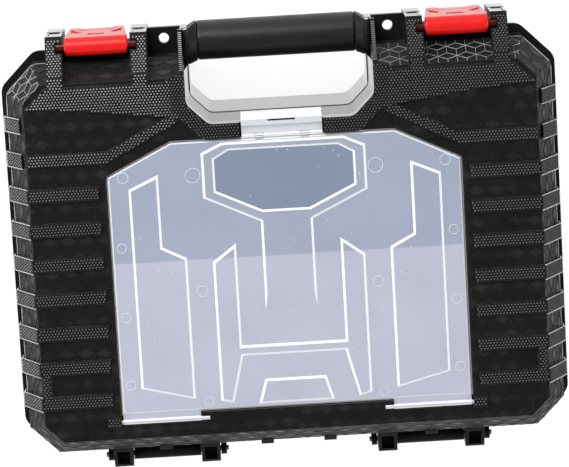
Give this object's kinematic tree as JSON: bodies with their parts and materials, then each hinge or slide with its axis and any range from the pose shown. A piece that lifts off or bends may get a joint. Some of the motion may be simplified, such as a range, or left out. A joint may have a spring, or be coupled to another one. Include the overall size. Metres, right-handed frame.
{
  "type": "power tool case",
  "caption": "Hinged carrying case with a clear-lidded parts organiser in its front shell, over-centre latches, padlock eyes and a fixed hand grip.",
  "frame": {"origin": "centre of the bounding box, on the plane the case lies on", "axes": "+Z out of the front face with the organiser lid; the hand grip is towards -Y and the case hinge towards +Y; +X is the picture's left"},
  "size_m": [0.4174, 0.3384, 0.1125],
  "materials": {
    "black_shell": "moulded satin",
    "red_latch": "moulded gloss",
    "clear_lid": "clear",
    "milky_plastic": "translucent",
    "soft_grip": "soft touch",
    "steel": "zinc plated"
  },
  "bodies": {
    "base": {"rear_shell": "black_shell", "handle_core": "black_shell", "handle_grip": "soft_grip", "collar_left": "black_shell", "collar_right": "black_shell", "hinge_pin_left": "steel", "hinge_pin_right": "steel"},
    "front": {"front_shell": "black_shell", "organiser_tray": "milky_plastic", "cross_divider": "milky_plastic", "centre_divider": "milky_plastic", "tray_screws": "steel"},
    "lid": {"organiser_lid": "clear_lid"},
    "clip": {"organiser_clip": "milky_plastic"},
    "left_latch": {"latch_left": "red_latch"},
    "right_latch": {"latch_right": "red_latch"}
  },
  "joints": [
    {"name": "case_hinge", "type": "hinge", "parent": "base", "child": "front", "pos_m": [0, 0.16165, 0.064], "axis": [-1, 0, 0], "range_deg": [0, 180]},
    {"name": "lid_hinge", "type": "hinge", "parent": "front", "child": "lid", "pos_m": [0, 0.12605, 0.109], "axis": [-1, 0, 0], "range_deg": [0, 135]},
    {"name": "clip_hinge", "type": "hinge", "parent": "lid", "child": "clip", "pos_m": [0, -0.08635, 0.109], "axis": [-1, 0, 0], "range_deg": [0, 70]},
    {"name": "left_latch_hinge", "type": "hinge", "parent": "front", "child": "left_latch", "pos_m": [0.134, -0.15825, 0.0925], "axis": [-1, 0, 0], "range_deg": [0, 100]},
    {"name": "right_latch_hinge", "type": "hinge", "parent": "front", "child": "right_latch", "pos_m": [-0.134, -0.15825, 0.0925], "axis": [-1, 0, 0], "range_deg": [0, 100]}
  ]
}
